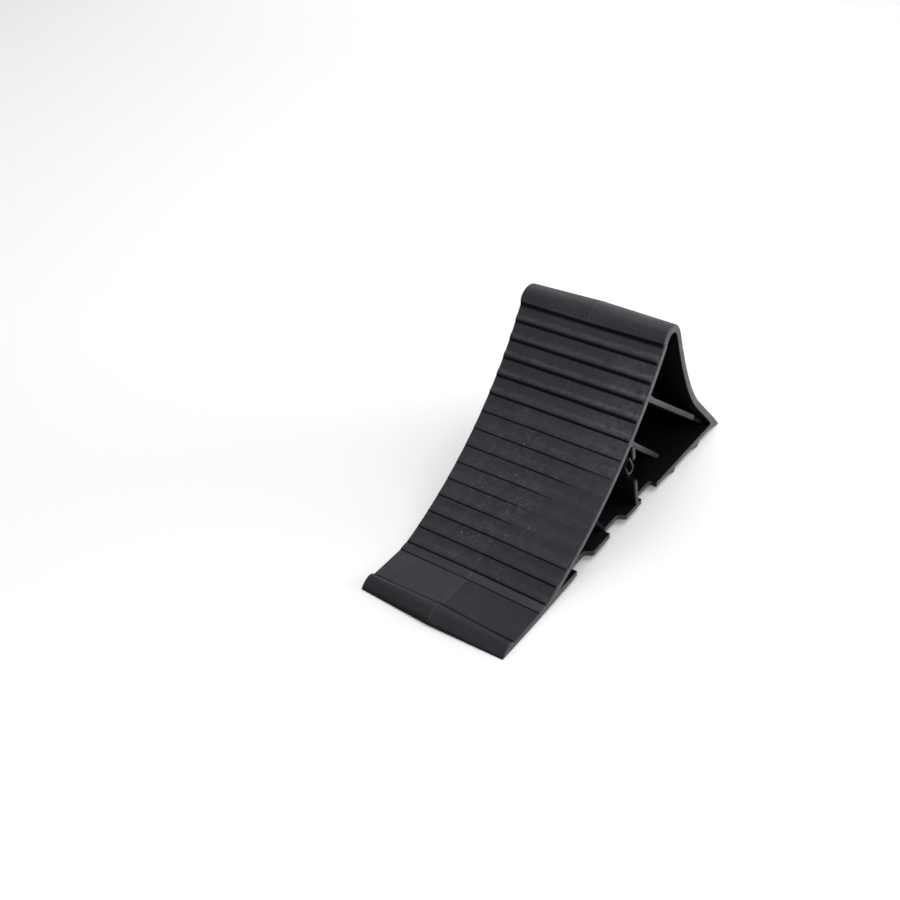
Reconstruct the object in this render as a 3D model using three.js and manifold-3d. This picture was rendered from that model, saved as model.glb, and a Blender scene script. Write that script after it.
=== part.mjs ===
// Wheel chock: a hollow, ribbed wedge of black moulded plastic that is pushed under a tyre.
// It is one injection moulding, so every mesh here is a region of that moulding: the walls of
// the outer ring, the parts of the base, and the web, ribs, struts and sockets inside it.
//
// Frame, in millimetres: X is the width, Y the length with the toe at -Y, Z is up.
// The origin is on the ground, at the middle of the chock's footprint.

import * as THREE from 'three';
import { mergeVertices } from 'three/addons/utils/BufferGeometryUtils.js';
import Module from 'manifold-3d';

const wasm = await Module();
wasm.setup();

// --- driving dimensions -------------------------------------------------------------------

const HALF_WIDTH = 60;
const HALF_LENGTH = 165;
const JOINT = 0.3; // clearance between neighbouring regions
const CROWN = 1.5; // the outer faces rise by this towards the mid-plane, as mould draft
const EDGE_EASE = 1.6; // how far the outer side edges are eased back
const EDGE_START = 58.9; // where that easing starts, from the mid-plane

// the tread follows a tyre: an arc about the wheel's centre, angles from straight down
const TYRE = { y: -221.8, z: 287.8, radius: 300.9 };
const TREAD_WALL = 7;
const TREAD_TOP = 59.85;
const BEAD_COUNT = 14;
const BEAD_PITCH = 2.754;
const SPLIT_BEAD = 7; // the upper and lower tread meet below this bead
const LAST_BOLD_BEAD = 4;
// rise in millimetres, then the ends of the lower side, the top and the upper side in degrees of arc
const BOLD_BEAD = { rise: 2.1, step: 0.5, top: 0.7, ramp: 1.28 };
const LOW_BEAD = { rise: 0.6, step: 0.12, top: 0.32, ramp: 1.15 };

const BACK_WALL = 5.6;
const BASE_TOP = 9;
const BASE_TOE_TOP = 7.1;
const TOP_BEND = [-71, -47]; // the top of the plate rises from its toe level between these
const BASE_UNDER = 4.5;
const UNDER_START = -128; // the underside leaves the ground here and rises towards the heel
const UNDER_LEVEL = -38; // and is level from here on

// the base plate, from toe to heel
const WEDGE_TIP = -94.9;
const SCALLOP_DEPTH = 6.2;
const SCALLOP_START = -70.5;
const SCALLOP_END = 50.5;
const LUG_FRONT = [-47, -23];
const LUG_REAR = [2, 26];
const LUG_SLANT = 3; // the toe side of a lug slants back by this towards the middle
const HEEL_FACE = 148.9;

// the inside
const WEB_HALF = 2;
const RIB_RECESS = 6; // a recessed rib edge stands this far inside the side face

// --- outline helpers: points are [y, z] -----------------------------------------------------

function treadPoint(angle, depth) {
  const radius = TYRE.radius + depth;
  const turn = THREE.MathUtils.degToRad(angle);
  return [TYRE.y + radius * Math.sin(turn), TYRE.z - radius * Math.cos(turn)];
}

function treadArc(from, to, depth, steps) {
  const points = [];
  for (let i = 0; i <= steps; i += 1) {
    points.push(treadPoint(from + ((to - from) * i) / steps, depth));
  }
  return points;
}

function curve(from, handleA, handleB, to, steps) {
  const ends = [from, handleA, handleB, to].map((p) => new THREE.Vector2(...p));
  return new THREE.CubicBezierCurve(...ends).getPoints(steps).map((p) => [p.x, p.y]);
}

function bow(from, handle, to, steps) {
  const ends = [from, handle, to].map((p) => new THREE.Vector2(...p));
  return new THREE.QuadraticBezierCurve(...ends).getPoints(steps).map((p) => [p.x, p.y]);
}

// moves a path that runs from toe to heel by a distance to its left, which is outwards
function offset(path, distance) {
  return path.map(([y, z], i) => {
    const before = path[Math.max(i - 1, 0)];
    const after = path[Math.min(i + 1, path.length - 1)];
    const run = after[0] - before[0];
    const rise = after[1] - before[1];
    const length = Math.hypot(run, rise);
    return [y - (rise / length) * distance, z + (run / length) * distance];
  });
}

function counterClockwise(outline) {
  const area = THREE.ShapeUtils.area(outline.map(([y, z]) => ({ x: y, y: z })));
  return area > 0 ? outline : [...outline].reverse();
}

// --- solid helpers ------------------------------------------------------------------------

// what changes across the width: how far the outer faces stand out, and how high the beads are
function station(x) {
  const aside = Math.abs(x);
  const easing = Math.max(aside - EDGE_START, 0) / (HALF_WIDTH - EDGE_START);
  return {
    x,
    proud: CROWN * (1 - aside / HALF_WIDTH) - EDGE_EASE * easing,
    bead: 1 - 0.6 * easing,
  };
}

const STATIONS = [-HALF_WIDTH, -EDGE_START, 0, EDGE_START, HALF_WIDTH].map(station);

function capFaces(outline, first, facing) {
  const contour = outline.map(([y, z]) => new THREE.Vector2(y, z));
  const faces = THREE.ShapeUtils.triangulateShape(contour, []);
  return faces.flatMap((face) => (facing ? face : [...face].reverse()).map((i) => first + i));
}

// joins the outlines that makeOutline gives at every station into one closed body
function loft(makeOutline) {
  const outlines = STATIONS.map((s) => counterClockwise(makeOutline(s)));
  const count = outlines[0].length;
  const positions = outlines.flatMap((outline, s) => outline.flatMap(([y, z]) => [STATIONS[s].x, y, z]));
  const index = [];
  for (let s = 0; s < outlines.length - 1; s += 1) {
    for (let i = 0; i < count; i += 1) {
      const a = s * count + i;
      const b = s * count + ((i + 1) % count);
      index.push(a, b, a + count, b, b + count, a + count);
    }
  }
  const last = outlines.length - 1;
  index.push(...capFaces(outlines[0], 0, false));
  index.push(...capFaces(outlines[last], last * count, true));
  const geometry = new THREE.BufferGeometry();
  geometry.setAttribute('position', new THREE.Float32BufferAttribute(positions, 3));
  geometry.setIndex(index);
  return geometry;
}

const ACROSS = new THREE.Matrix4().makeBasis(
  new THREE.Vector3(0, 1, 0),
  new THREE.Vector3(0, 0, 1),
  new THREE.Vector3(1, 0, 0),
);

// a prism across the width, with holes if any; side is 1 or -1, and x runs from near to far
function prism(outline, near, far, side = 1, holes = []) {
  const shape = new THREE.Shape(outline.map((p) => new THREE.Vector2(...p)));
  shape.holes = holes.map((hole) => new THREE.Path(hole.map((p) => new THREE.Vector2(...p))));
  const geometry = new THREE.ExtrudeGeometry(shape, { depth: far - near, bevelEnabled: false });
  geometry.applyMatrix4(ACROSS);
  geometry.translate(side > 0 ? near : -far, 0, 0);
  return geometry;
}

// a vertical prism over an outline of [x, y] points, from one height to another
function column(outline, low, high) {
  const shape = new THREE.Shape(outline.map((p) => new THREE.Vector2(...p)));
  const geometry = new THREE.ExtrudeGeometry(shape, { depth: high - low, bevelEnabled: false });
  return geometry.translate(0, 0, low);
}

function toManifold(geometry) {
  const bare = geometry.clone();
  bare.deleteAttribute('normal');
  bare.deleteAttribute('uv');
  const merged = mergeVertices(bare, 1e-4);
  return new wasm.Manifold(new wasm.Mesh({
    numProp: 3,
    vertProperties: new Float32Array(merged.attributes.position.array),
    triVerts: new Uint32Array(merged.index.array),
  }));
}

function toGeometry(solid) {
  const mesh = solid.getMesh();
  const geometry = new THREE.BufferGeometry();
  geometry.setAttribute('position', new THREE.BufferAttribute(new Float32Array(mesh.vertProperties), 3));
  geometry.setIndex(new THREE.BufferAttribute(new Uint32Array(mesh.triVerts), 1));
  return geometry;
}

// keeps what is inside the cavity, less the given cutters
function fitInside(geometry, side, cutters = []) {
  const room = toManifold(prism(cavity(JOINT), WEB_HALF + JOINT, HALF_WIDTH, side));
  const fitted = toManifold(geometry).intersect(room);
  return toGeometry(cutters.reduce((solid, cutter) => solid.subtract(toManifold(cutter)), fitted));
}

// --- the outer ring ---------------------------------------------------------------------------

const TOE_TIP = [-HALF_LENGTH, 0];
const TOE_LIP = [[-164.4, 1.5], ...curve([-162.4, 3.7], [-157.6, 7.4], [-153.9, 8.1], [-150.8, 4], 5)];
const TOE_STEP = [[-120.6, 5.1], [-119.9, 5.9]];
const CREST_FRONT = curve([38.4, 138.4], [39.2, 142.6], [44.5, 147], [51, 146.8], 5);
const CREST_BACK = curve([51, 146.8], [58.2, 146.6], [62.6, 141.6], [66.3, 134.1], 5);
const CREST_INSIDE = [
  ...curve([43.8, 133.6], [45.6, 137.6], [48.2, 140.6], [51.8, 140.6], 4),
  ...curve([51.8, 140.6], [56.4, 140.6], [58.8, 137.2], [61.1, 131.9], 4).slice(1),
];
const BACK_ARC = bow([66.3, 134.1], [92, 72.4], [117.9, 47.3], 12);
const HEEL_SLOPE = [[117.9, 47.3], [152.7, 13.5]];
const HEEL_TIP = [[152.95, 13.2], [161.2, 4.8], [HALF_LENGTH, 0.7], [164.2, 0]];

function beadAngle(number) {
  return TREAD_TOP - number * BEAD_PITCH;
}

// the upper beads are bold ridges, and further down they turn into low steps
function beadShape(number) {
  const low = THREE.MathUtils.clamp((number - LAST_BOLD_BEAD) / 2, 0, 1);
  const between = (key) => BOLD_BEAD[key] + (LOW_BEAD[key] - BOLD_BEAD[key]) * low;
  return { rise: between('rise'), step: between('step'), top: between('top'), ramp: between('ramp') };
}

// half of the clearance between two neighbouring tread regions, in degrees of arc
const TREAD_JOINT = THREE.MathUtils.radToDeg(JOINT / 2 / TYRE.radius);

// the beaded surface from one bead's foot up to just below another's
function beads(s, lowest, highest) {
  const points = [treadPoint(beadAngle(lowest) + TREAD_JOINT, -s.proud)];
  for (let number = lowest; number >= highest; number -= 1) {
    const foot = beadAngle(number);
    const shape = beadShape(number);
    const rise = shape.rise * s.bead;
    if (number !== lowest) points.push(treadPoint(foot, -s.proud));
    points.push(treadPoint(foot + shape.step * 0.75, -s.proud - rise * 0.8));
    points.push(treadPoint(foot + shape.step, -s.proud - rise));
    points.push(treadPoint(foot + shape.top, -s.proud - rise));
    points.push(treadPoint(foot + shape.ramp, -s.proud));
  }
  points.push(treadPoint(beadAngle(highest - 1) - TREAD_JOINT, -s.proud));
  return points;
}

function treadOutline(s, lowest, highest) {
  const from = beadAngle(lowest) + TREAD_JOINT;
  const to = beadAngle(highest - 1) - TREAD_JOINT;
  return [...beads(s, lowest, highest), ...treadArc(to, from, TREAD_WALL, lowest - highest + 1)];
}

// height just under the tread wall's inner face
function wallFoot(y) {
  return TYRE.z - Math.sqrt((TYRE.radius + TREAD_WALL + JOINT) ** 2 - (y - TYRE.y) ** 2);
}

// the solid block where the tread, the toe and the base plate run together
function toeRootOutline(s) {
  const top = beadAngle(BEAD_COUNT - 1) - TREAD_JOINT;
  const frontFace = treadPoint(beadAngle(BEAD_COUNT), 0)[0];
  return [
    [frontFace, underside(frontFace)],
    ...beads(s, BEAD_COUNT, BEAD_COUNT).map(([y, z]) => [Math.max(y, frontFace), z]),
    treadPoint(top, TREAD_WALL + JOINT),
    [WEDGE_TIP, wallFoot(WEDGE_TIP)],
    [WEDGE_TIP, underside(WEDGE_TIP)],
  ].filter((point, i, all) => i === 0 || point[0] !== all[i - 1][0] || point[1] !== all[i - 1][1]);
}

function toeOutline(s) {
  const back = treadPoint(beadAngle(BEAD_COUNT), 0)[0] - JOINT;
  const rise = Math.max(s.proud, -EDGE_EASE / 2);
  const bulge = Math.max(s.proud, 0); // the toe and heel edges bow out twice as far as the walls
  const path = [TOE_TIP, ...TOE_LIP.slice(0, -1).map(([y, z]) => [y - bulge, z]), TOE_LIP.at(-1)];
  const top = offset([...path, ...TOE_STEP, [back, 7.4]], rise).slice(1, -1);
  return [
    [TOE_TIP[0] - rise - bulge, 0],
    ...top,
    [back, 7.4 + rise],
    [back, underside(back)],
    [UNDER_START, 0],
  ];
}

function crestOutline(s) {
  const foot = treadPoint(TREAD_TOP + TREAD_JOINT, -s.proud);
  const outside = offset([...CREST_FRONT, ...CREST_BACK.slice(1)], s.proud);
  return [foot, ...outside, ...[...CREST_INSIDE].reverse()];
}

// a wall that follows a path of its outer face, shortened by the clearance at both ends
function wallOutline(path, s) {
  const outside = shorten(offset(path, s.proud));
  return [...outside, ...shorten(offset(path, -BACK_WALL)).reverse()];
}

function shorten(path) {
  const trimmed = [...path];
  trimmed[0] = towards(path[0], path[1]);
  trimmed[path.length - 1] = towards(path[path.length - 1], path[path.length - 2]);
  return trimmed;
}

function towards(from, to) {
  const share = JOINT / Math.hypot(to[0] - from[0], to[1] - from[1]);
  return [from[0] + (to[0] - from[0]) * share, from[1] + (to[1] - from[1]) * share];
}

function heelOutline(s) {
  const rise = Math.max(s.proud, -EDGE_EASE / 2);
  const bulge = Math.max(s.proud, 0);
  const [top, shoulder, nose, sole] = HEEL_TIP;
  return [
    [HEEL_FACE, BASE_UNDER - JOINT],
    [HEEL_FACE, BASE_TOP + JOINT],
    [top[0] + rise * 0.7, top[1] + rise * 0.7],
    [shoulder[0] + rise * 0.7, shoulder[1] + rise * 0.7],
    [nose[0] + rise + bulge, nose[1]],
    [sole[0] + rise + bulge, sole[1]],
  ];
}

function outerRing() {
  const middle = BACK_ARC.length / 2;
  return {
    toe_lip: loft(toeOutline),
    toe_root: loft(toeRootOutline),
    tread_lower: loft((s) => treadOutline(s, BEAD_COUNT - 1, SPLIT_BEAD + 1)),
    tread_upper: loft((s) => treadOutline(s, SPLIT_BEAD, 1)),
    crest_cap: loft(crestOutline),
    back_wall_upper: loft((s) => wallOutline(BACK_ARC.slice(0, middle + 1), s)),
    back_wall_lower: loft((s) => wallOutline(BACK_ARC.slice(middle), s)),
    heel_ramp: loft((s) => wallOutline(HEEL_SLOPE, s)),
    heel_edge: loft(heelOutline),
  };
}

// --- the base plate -----------------------------------------------------------------------------

// height of the plate's underside, which rises gently from the toe and then runs level
function underside(y) {
  const share = (y - UNDER_START) / (UNDER_LEVEL - UNDER_START);
  return BASE_UNDER * THREE.MathUtils.clamp(share, 0, 1);
}

// height of the plate's top, which steps up a little behind the toe
function topside(y) {
  const share = (y - TOP_BEND[0]) / (TOP_BEND[1] - TOP_BEND[0]);
  return BASE_TOE_TOP + (BASE_TOP - BASE_TOE_TOP) * THREE.MathUtils.clamp(share, 0, 1);
}

function slabOutline(from, to) {
  const bends = [from, ...[TOP_BEND[1], UNDER_LEVEL].filter((y) => y > from && y < to), to];
  const under = bends.map((y) => [y, underside(y)]);
  return [...under, ...bends.map((y) => [y, topside(y)]).reverse()];
}

// a lug between two scallops, with its toe side slanting and its outer corners cut
function lug([front, rear], side) {
  const inner = HALF_WIDTH - SCALLOP_DEPTH + JOINT;
  const corner = 1.2;
  const outline = [
    [inner, front - LUG_SLANT],
    [HALF_WIDTH - corner, front - LUG_SLANT * 0.2],
    [HALF_WIDTH, front + corner],
    [HALF_WIDTH, rear - corner],
    [HALF_WIDTH - corner, rear],
    [inner, rear],
  ].map(([x, y]) => [x * side, y]);
  const low = Math.max(underside(front), underside(rear));
  return column(outline, low, BASE_TOP);
}

// a sawtooth bar under the plate: its ramp faces the toe and its tip bites the ground
function toothOutline(start, tip, end) {
  const top = BASE_UNDER - JOINT;
  return [[start, top], [tip, 0], [tip + 0.8, 0], [end, top]];
}

function basePlate() {
  const frontStart = WEDGE_TIP + JOINT;
  const front = slabOutline(frontStart, SCALLOP_START - JOINT / 2);
  const middle = slabOutline(SCALLOP_START + JOINT / 2, SCALLOP_END - JOINT / 2);
  const rear = slabOutline(SCALLOP_END + JOINT / 2, HEEL_FACE - JOINT);
  return {
    base_front: prism(front, -HALF_WIDTH, HALF_WIDTH),
    base_middle: prism(middle, SCALLOP_DEPTH - HALF_WIDTH, HALF_WIDTH - SCALLOP_DEPTH),
    base_rear: prism(rear, -HALF_WIDTH, HALF_WIDTH),
    tooth_front: prism(toothOutline(70, 81, 82.6), -HALF_WIDTH, HALF_WIDTH),
    tooth_rear: prism(toothOutline(109.6, 123.6, 128), -HALF_WIDTH, HALF_WIDTH),
  };
}

// --- the web, ribs, struts and sockets ------------------------------------------------------------

// the space inside the ring, seen from the side and shrunk by a clearance
function cavity(clearance) {
  const depth = TREAD_WALL + clearance;
  const floor = BASE_TOP + clearance;
  const toeFloor = BASE_TOE_TOP + clearance;
  const tip = THREE.MathUtils.radToDeg(Math.acos((TYRE.z - toeFloor) / (TYRE.radius + depth)));
  const back = offset([...BACK_ARC, HEEL_SLOPE[1]], -BACK_WALL - clearance);
  const corner = back.pop();
  const run = back[back.length - 1];
  const share = (run[1] - floor) / (run[1] - corner[1]);
  return [
    ...treadArc(tip, TREAD_TOP, depth, 14),
    ...offset(CREST_INSIDE.slice(1, -1), -clearance),
    ...back,
    [run[0] + (corner[0] - run[0]) * share, floor],
    [TOP_BEND[1], floor],
    [TOP_BEND[0], toeFloor],
  ];
}

// a straight rib seen from the side: from one top corner to another, with a thickness at each end
function band(from, to, thicknessFrom, thicknessTo) {
  return [from, to, [to[0], to[1] - thicknessTo], [from[0], from[1] - thicknessFrom]];
}

const UPPER_RIB = { from: [20, 105.3], to: [150, 8.8], thick: [4.2, 4.2], flushTo: 109 };
const MIDDLE_RIB = { from: [-6, 83], to: [88, 4.8], thick: [6, 4], flushTo: 46, narrow: 36 };
const TOE_RIB = { from: [-46, 42.4], to: [-20, 8.6], thick: [5.6, 5.6] };
const STRUT = [[2.3, 69], [16.9, 9.2], [20.8, 9.2], [7.1, 65.4]];
const STRUT_NOTCH = { low: 35, high: 57 };
const SOCKET = { y: 1.2, z: 54.4, tilt: 32, outer: [8.8, 18.8], bore: [5.9, 15.7], mouth: 59.2 };

function upperRib(side) {
  const far = HALF_WIDTH - RIB_RECESS;
  const outline = [[far, UPPER_RIB.flushTo], [HALF_WIDTH + 1, UPPER_RIB.flushTo],
    [HALF_WIDTH + 1, HALF_LENGTH], [far, HALF_LENGTH]].map(([x, y]) => [x * side, y]);
  const bar = prism(band(UPPER_RIB.from, UPPER_RIB.to, ...UPPER_RIB.thick), 0, HALF_WIDTH, side);
  return fitInside(bar, side, [column(outline, 0, HALF_LENGTH)]);
}

function middleRib(side) {
  const outline = [[HALF_WIDTH + 1, MIDDLE_RIB.flushTo], [HALF_WIDTH + 1, HALF_LENGTH],
    [MIDDLE_RIB.narrow, HALF_LENGTH], [MIDDLE_RIB.narrow, MIDDLE_RIB.flushTo + 30],
    [MIDDLE_RIB.narrow + 18, MIDDLE_RIB.flushTo + 9]].map(([x, y]) => [x * side, y]);
  const bar = prism(band(MIDDLE_RIB.from, MIDDLE_RIB.to, ...MIDDLE_RIB.thick), 0, HALF_WIDTH, side);
  return fitInside(bar, side, [column(outline, 0, HALF_LENGTH)]);
}

function toeRib(side) {
  const bar = prism(band(TOE_RIB.from, TOE_RIB.to, ...TOE_RIB.thick), 0, HALF_WIDTH - RIB_RECESS, side);
  return fitInside(bar, side);
}

// the strut under the middle rib, notched between its two flush stretches
function strut(side) {
  const notch = new THREE.BoxGeometry(RIB_RECESS * 2, 60, STRUT_NOTCH.high - STRUT_NOTCH.low);
  notch.translate(HALF_WIDTH * side, 0, (STRUT_NOTCH.high + STRUT_NOTCH.low) / 2);
  const room = oblong(SOCKET.outer.map((size) => size + 2 * JOINT));
  const bite = prism(room, 0, SOCKET.mouth + JOINT, side);
  return fitInside(prism(STRUT, 0, HALF_WIDTH, side), side, [notch, bite]);
}

// an oblong with round ends, tilted with its top towards the toe
function oblong([wide, tall]) {
  const radius = wide / 2;
  const reach = tall / 2 - radius;
  const path = new THREE.Path();
  path.absarc(0, reach, radius, 0, Math.PI);
  path.absarc(0, -reach, radius, Math.PI, Math.PI * 2);
  const turn = THREE.MathUtils.degToRad(SOCKET.tilt);
  const centre = new THREE.Vector2(0, 0);
  const points = path.getPoints(6).slice(0, -1);
  return points.map((p) => p.rotateAround(centre, turn)).map((p) => [p.x + SOCKET.y, p.y + SOCKET.z]);
}

// the oblong socket beside the strut, which takes the bar that joins or carries the chocks
function socket(side) {
  return prism(oblong(SOCKET.outer), WEB_HALF + JOINT, SOCKET.mouth, side, [oblong(SOCKET.bore)]);
}

function inside() {
  const meshes = { center_web: prism(cavity(JOINT), -WEB_HALF, WEB_HALF) };
  for (const [name, side] of [['right', 1], ['left', -1]]) {
    meshes[`upper_rib_${name}`] = upperRib(side);
    meshes[`middle_rib_${name}`] = middleRib(side);
    meshes[`toe_rib_${name}`] = toeRib(side);
    meshes[`strut_${name}`] = strut(side);
    meshes[`bar_socket_${name}`] = socket(side);
    meshes[`lug_front_${name}`] = lug(LUG_FRONT, side);
    meshes[`lug_rear_${name}`] = lug(LUG_REAR, side);
  }
  return meshes;
}

// --- assembly ---------------------------------------------------------------------------------------

function plastic() {
  return new THREE.MeshStandardMaterial({ color: 0x2b2c30, roughness: 0.55, metalness: 0 });
}

const chock = new THREE.Group();
for (const [name, geometry] of Object.entries({ ...outerRing(), ...basePlate(), ...inside() })) {
  const mesh = new THREE.Mesh(geometry, plastic());
  mesh.name = name;
  chock.add(mesh);
}

export default chock;
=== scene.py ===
"""Looks of the wheel chock: one ribbed moulding in black plastic, built around the CAD frame.

Shapes are worked out in millimetres in the frame's own axes (X width, Y length with the toe at -Y,
Z up) and turned into metres when a mesh is made.
"""

import math

import bmesh
import bpy
from mathutils import Matrix, Vector
from mathutils.geometry import tessellate_polygon


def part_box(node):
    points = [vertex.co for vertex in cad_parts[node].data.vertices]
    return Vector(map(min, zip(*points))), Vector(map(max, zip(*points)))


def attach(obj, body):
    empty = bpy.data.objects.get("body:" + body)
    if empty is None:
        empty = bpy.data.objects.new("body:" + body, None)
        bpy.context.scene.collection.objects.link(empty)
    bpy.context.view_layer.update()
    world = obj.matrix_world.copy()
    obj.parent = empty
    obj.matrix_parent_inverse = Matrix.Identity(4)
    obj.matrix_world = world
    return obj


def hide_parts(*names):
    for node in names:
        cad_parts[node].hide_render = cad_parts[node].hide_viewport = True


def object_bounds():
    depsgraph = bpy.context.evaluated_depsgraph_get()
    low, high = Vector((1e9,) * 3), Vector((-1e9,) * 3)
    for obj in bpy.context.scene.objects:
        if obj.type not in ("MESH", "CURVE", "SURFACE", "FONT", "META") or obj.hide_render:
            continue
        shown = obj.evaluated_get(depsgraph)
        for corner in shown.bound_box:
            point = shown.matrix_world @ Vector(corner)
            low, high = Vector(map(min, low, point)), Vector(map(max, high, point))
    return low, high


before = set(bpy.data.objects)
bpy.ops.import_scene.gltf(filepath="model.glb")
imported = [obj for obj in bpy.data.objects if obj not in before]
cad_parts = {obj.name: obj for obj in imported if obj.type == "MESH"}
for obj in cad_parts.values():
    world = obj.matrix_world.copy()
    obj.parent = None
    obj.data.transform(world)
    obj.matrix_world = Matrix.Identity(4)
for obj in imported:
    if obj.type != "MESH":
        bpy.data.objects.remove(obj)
cad_low, cad_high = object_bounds()

MM = 0.001
BODY = "root"

# --- sizes in mm that are the CAD model's too -----------------------------------------------------

HALF_WIDTH = cad_high.x / MM
CROWN = 1.5  # how far the mould draft bows the walls out along the mid-plane
END_CROWN = 2.0  # times that for the toe and heel edges
TYRE_Y, TYRE_Z, TYRE_RADIUS = -221.8, 287.8, 300.9  # the tread's arc
TREAD_WALL = 7.0
TREAD_TOP = 59.85  # degrees up the arc from its lowest point
BEAD_COUNT = 14
BEAD_PITCH = 2.754  # degrees
BACK_WALL = 5.6
BASE_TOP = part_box("base_middle")[1].z / MM
BASE_TOE_TOP = 7.1
TOP_BEND = (-71.0, -47.0)  # the top of the base steps up from its toe level between these
BASE_UNDER = 4.5
UNDER_START, UNDER_LEVEL = -128.0, -38.0  # the underside rises to BASE_UNDER between these
SCALLOP_DEPTH = HALF_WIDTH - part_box("base_middle")[1].x / MM
SCALLOP_START, SCALLOP_END = -70.5, 50.5
LUGS = ((-47.0, -23.0), (2.0, 26.0))
LUG_SLANT = 3.0  # how much further towards the toe a lug's front starts at the plate
WEB_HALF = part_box("center_web")[1].x / MM

# --- sizes in mm that only the visual model has ---------------------------------------------------

EMBED = 0.8  # how far inner pieces reach into the walls that they grow from
BEAD_FADE = (58.2, 60.0)  # the beads round off between these distances from the middle

# how far a side edge's round reaches (across, deep)
EDGE_TREAD = (1.0, 2.4)
EDGE_BACK = (0.9, 0.8)  # the crest and the back wall
EDGE_TOE = (0.8, 0.8)  # the toe and the heel's edge
EDGE_THIN = (0.5, 0.5)  # the underside, the base and the cavity's rim

SHARP_ANGLE = 32  # degrees between two faces, over which the edge between them is sharp
CORNER_STEPS = 5
TRAITS = ("wear", "hollow", "scuffs")


# --- small helpers --------------------------------------------------------------------------------


def smoothstep(low, high, value):
    t = min(max((value - low) / (high - low), 0.0), 1.0)
    return t * t * (3 - 2 * t)


def tread_point(angle, depth=0.0):
    turn = math.radians(angle)
    radius = TYRE_RADIUS + depth
    return (TYRE_Y + radius * math.sin(turn), TYRE_Z - radius * math.cos(turn))


def bezier(points, steps):
    """Points on a Bezier curve of any degree, its start and end included."""
    out = []
    for i in range(steps + 1):
        t = i / steps
        row = [tuple(p) for p in points]
        while len(row) > 1:
            row = [tuple(a + (b - a) * t for a, b in zip(p, q)) for p, q in zip(row, row[1:])]
        out.append(row[0])
    return out


def line(start, end, steps):
    return bezier([start, end], steps)


def arc_between(start, end, depth, steps):
    return [tread_point(start + (end - start) * i / steps, depth) for i in range(steps + 1)]


def round_corners(corners):
    """An open path through (x, y, radius) corners, each turned on a curve of about that radius."""
    out = [corners[0][:2]]
    for before, corner, after in zip(corners, corners[1:], corners[2:]):
        if not corner[2]:
            out.append(corner[:2])
            continue
        here = Vector(corner[:2])
        to_before = Vector(before[:2]) - here
        to_after = Vector(after[:2]) - here
        reach = min(corner[2], to_before.length * 0.48, to_after.length * 0.48)
        start = here + to_before.normalized() * reach
        end = here + to_after.normalized() * reach
        out += bezier([start[:], here[:], end[:]], CORNER_STEPS)
    return out + [corners[-1][:2]]


def right_normals(path, closed=True):
    """Unit normals to the right of a path's travel: outwards on a counter-clockwise loop."""
    count = len(path)
    out = []
    for i in range(count):
        before = path[(i - 1) % count] if closed else path[max(i - 1, 0)]
        after = path[(i + 1) % count] if closed else path[min(i + 1, count - 1)]
        run, rise = after[0] - before[0], after[1] - before[1]
        length = math.hypot(run, rise) or 1.0
        out.append((rise / length, -run / length))
    return out


def base_top(y):
    share = (y - TOP_BEND[0]) / (TOP_BEND[1] - TOP_BEND[0])
    return BASE_TOE_TOP + (BASE_TOP - BASE_TOE_TOP) * min(max(share, 0.0), 1.0)


def underside(y):
    return BASE_UNDER * min(max((y - UNDER_START) / (UNDER_LEVEL - UNDER_START), 0.0), 1.0)


def new_piece(name, mesh_data, material):
    """An object from (vertices in mm, faces, traits), smooth but for edges over SHARP_ANGLE.

    traits holds a value per vertex for the material: the first lightens rubbed edges and paints
    highlights, the second paints shade into grooves, under-faces and the inside of the moulding, and
    "scuffs" is how scratched it is.
    """
    vertices, faces, traits = mesh_data
    mesh = bpy.data.meshes.new(name)
    mesh.from_pydata([(x * MM, y * MM, z * MM) for x, y, z in vertices], [], faces)
    for trait in TRAITS:
        attribute = mesh.attributes.new(trait, "FLOAT", "POINT")
        attribute.data.foreach_set("value", traits.get(trait) or [0.0] * len(vertices))
    mesh.validate()
    made = bmesh.new()
    made.from_mesh(mesh)
    bmesh.ops.recalc_face_normals(made, faces=made.faces)
    made.to_mesh(mesh)
    made.free()
    mesh.shade_smooth()
    mesh.set_sharp_from_angle(angle=math.radians(SHARP_ANGLE))
    piece = bpy.data.objects.new(name, mesh)
    bpy.context.scene.collection.objects.link(piece)
    mesh.materials.append(material)
    return piece


def settle(piece, nodes):
    """Puts a piece in place of these CAD nodes."""
    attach(piece, BODY)
    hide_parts(*nodes)


def loft_rings(rings, closed_ends=True):
    """Faces between consecutive rings of equal length; closed_ends caps the first and the last."""
    count = len(rings[0])
    vertices = [v for ring in rings for v in ring]
    faces = []
    for s in range(len(rings) - 1):
        for i in range(count):
            a, b = s * count + i, s * count + (i + 1) % count
            faces.append((a, b, b + count, a + count))
    if closed_ends:
        faces += cap_ring(rings[0], 0)
        faces += cap_ring(rings[-1], (len(rings) - 1) * count)
    return vertices, faces


def cap_ring(ring, offset):
    """Triangles over one ring of 3-D points that lie in a plane."""
    triangles = tessellate_polygon([[Vector(v) for v in ring]])
    return [tuple(offset + i for i in triangle) for triangle in triangles]


# --- the outer ring -------------------------------------------------------------------------------
# The side profile is one counter-clockwise loop of Spot points.


FEW_SCUFFS = 0.25
RUB_SPREAD = 16.0  # half the width over which a groove fades out


class Spot:
    """A point of the side profile and what happens to it across the width."""

    def __init__(self, place, edge, crown=1.0, bead=0.0, wear=0.0, hollow=0.0, dull=(0, 0)):
        self.y, self.z = place
        self.edge = edge  # one of the EDGE values
        self.crown = crown  # share of the mould draft
        self.bead = bead  # height of the bead over the wall
        # lightening for wear and for painted highlights
        self.wear = wear
        # painted shade for grooves, under-faces and the inside
        self.hollow = hollow
        self.dull = dull  # painted shade added on the left and on the right half
        self.rubbed = (0.0, 0.0)  # share of the bead and its groove worn away right of a place
        self.scuffs = FEW_SCUFFS
        self.right_highlight = 0.0  # painted highlight added towards the right side

    def worn(self, x):
        share, start = self.rubbed
        return share * smoothstep(start - RUB_SPREAD, start + RUB_SPREAD, x)


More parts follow.
